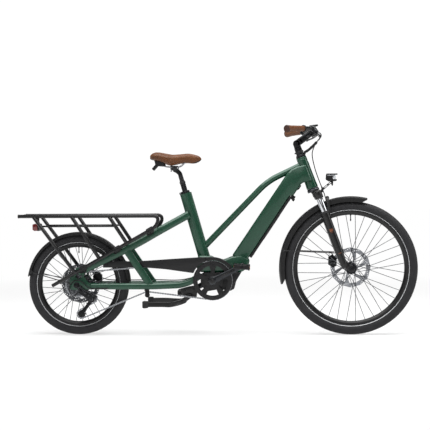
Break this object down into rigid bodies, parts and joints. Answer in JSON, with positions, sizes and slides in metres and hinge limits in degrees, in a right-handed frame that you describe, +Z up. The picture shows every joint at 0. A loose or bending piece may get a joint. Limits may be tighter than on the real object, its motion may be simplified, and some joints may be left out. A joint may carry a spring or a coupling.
{
  "type": "cargo bicycle",
  "caption": "Longtail electric cargo bicycle with a rear rack, small rear wheel, suspension fork, mid motor, chain drive, disc brakes and a leather saddle.",
  "frame": {"origin": "on the ground, below the middle of the bicycle's length, in its middle plane", "axes": "+X the way it rides, +Y its left side, +Z up"},
  "size_m": [2.013, 0.6064, 1.062],
  "materials": {
    "green_paint": "satin dark green metallic paint",
    "black_metal": "satin black anodised or painted metal",
    "black_plastic": "matt black plastic",
    "steel": "brushed bright steel",
    "alloy": "satin bright alloy",
    "tyre_rubber": "matt dark grey tread and sidewall",
    "cable_rubber": "smooth black cable sleeve",
    "tan_leather": "worn tan leather with darker edges",
    "fork_chrome": "polished chrome",
    "red_lens": "glossy dark red lens",
    "clear_lens": "clear ribbed lens over a bright reflector",
    "grey_band": "pale grey reflective band",
    "copper_print": "plain copper bands printed on the fork legs"
  },
  "bodies": {
    "frame": {"head_tube": "green_paint", "down_tube": "green_paint", "battery_pack": "black_plastic", "top_tube": "green_paint", "seat_tube": "green_paint", "motor_cradle": "green_paint", "drive_motor": "black_metal", "upper_stay_right": "green_paint", "upper_stay_left": "green_paint", "chainstay_right": "green_paint", "chainstay_left": "green_paint", "kickstand_mount": "black_metal", "rack_rail_right": "black_metal", "rack_rail_left": "black_metal", "rack_struts_right": "black_metal", "rack_struts_left": "black_metal", "rack_deck": "black_metal", "tail_light": "red_lens", "rear_mudguard": "black_plastic", "chain": "steel", "chain_guard": "black_plastic", "chain_roller": "black_plastic", "derailleur_body": "black_metal", "derailleur_cage": "black_plastic", "shift_cable": "cable_rubber", "rear_caliper": "black_metal", "seat_clamp": "black_metal"},
    "crankset": {"chainring": "black_metal", "crank_right": "black_metal", "crank_left": "black_metal"},
    "pedal_r": {"pedal_right": "black_plastic"},
    "pedal_l": {"pedal_left": "black_plastic"},
    "rear_wheel": {"rear_tyre": "tyre_rubber", "rear_rim": "black_metal", "rear_hub": "alloy", "rear_rotor": "steel"},
    "cassette": {"cassette": "steel"},
    "seat": {"seatpost": "black_metal", "saddle_rails": "black_metal", "saddle": "tan_leather"},
    "steering": {"fork_crown": "fork_chrome", "headlight": "black_metal", "stem_quill": "black_metal", "cable_bundle": "cable_rubber"},
    "cockpit": {"stem_arm": "black_metal", "handlebar": "black_metal", "grip_right": "tan_leather", "grip_left": "tan_leather"},
    "lever_r": {"brake_lever_right": "alloy"},
    "lever_l": {"brake_lever_left": "alloy"},
    "shifter": {"shift_trigger": "black_plastic"},
    "sliding_fork": {"fork_lowers": "black_metal", "front_mudguard": "black_plastic", "front_caliper": "black_metal", "front_brake_hose": "cable_rubber"},
    "front_wheel": {"front_tyre": "tyre_rubber", "front_rim": "black_metal", "front_hub": "alloy", "front_rotor": "steel"},
    "stand": {"kickstand_legs": "black_metal"}
  },
  "joints": [
    {"name": "steer", "type": "hinge", "parent": "frame", "child": "steering", "pos_m": [0.422, 0, 0.896], "axis": [-0.342, 0, 0.9397], "range_deg": [-60, 60]},
    {"name": "fork_travel", "type": "slide", "parent": "steering", "child": "sliding_fork", "axis": [-0.342, 0, 0.9397], "range_m": [0, 0.03], "stiffness_N_per_m": 8000, "springref_m": -0.02},
    {"name": "front_wheel_spin", "type": "hinge", "parent": "sliding_fork", "child": "front_wheel", "pos_m": [0.67, 0, 0.3365], "axis": [0, 1, 0], "continuous": true},
    {"name": "rear_wheel_spin", "type": "hinge", "parent": "frame", "child": "rear_wheel", "pos_m": [-0.714, 0, 0.257], "axis": [0, 1, 0], "continuous": true},
    {"name": "crank_spin", "type": "hinge", "parent": "frame", "child": "crankset", "pos_m": [-0.027, 0, 0.277], "axis": [0, 1, 0], "continuous": true},
    {"name": "cassette_spin", "type": "hinge", "parent": "frame", "child": "cassette", "pos_m": [-0.714, 0, 0.257], "axis": [0, 1, 0], "continuous": true},
    {"name": "pedal_right_spin", "type": "hinge", "parent": "crankset", "child": "pedal_r", "pos_m": [0.12514, 0, 0.35285], "axis": [0, 1, 0], "continuous": true},
    {"name": "pedal_left_spin", "type": "hinge", "parent": "crankset", "child": "pedal_l", "pos_m": [-0.17914, 0, 0.20115], "axis": [0, 1, 0], "continuous": true},
    {"name": "stem_angle", "type": "hinge", "parent": "steering", "child": "cockpit", "pos_m": [0.399, 0, 0.965], "axis": [0, 1, 0], "range_deg": [-25, 15], "deforming": ["cable_bundle"]},
    {"name": "brake_right", "type": "hinge", "parent": "cockpit", "child": "lever_r", "pos_m": [0.5, -0.112, 1.015], "axis": [-0.5028, 0.3329, -0.7977], "range_deg": [0, 14], "stiffness_Nm_per_rad": 1, "springref_deg": -11.46},
    {"name": "brake_left", "type": "hinge", "parent": "cockpit", "child": "lever_l", "pos_m": [0.5, 0.112, 1.015], "axis": [0.5028, 0.3329, 0.7977], "range_deg": [0, 14], "stiffness_Nm_per_rad": 1, "springref_deg": -11.46},
    {"name": "shift", "type": "hinge", "parent": "cockpit", "child": "shifter", "pos_m": [0.47, -0.074, 1.003], "axis": [0, 0, 1], "range_deg": [0, 20], "stiffness_Nm_per_rad": 0.1, "springref_deg": -11.46},
    {"name": "seat_height", "type": "slide", "parent": "frame", "child": "seat", "axis": [-0.2756, 0, 0.9613], "range_m": [-0.05, 0.08]},
    {"name": "stand_swing", "type": "hinge", "parent": "frame", "child": "stand", "pos_m": [-0.146, 0, 0.197], "axis": [0, -1, 0], "range_deg": [0, 100]}
  ],
  "couplings": [
    {"joint": "cassette_spin", "follows": "crank_spin", "ratio": 1.6}
  ]
}
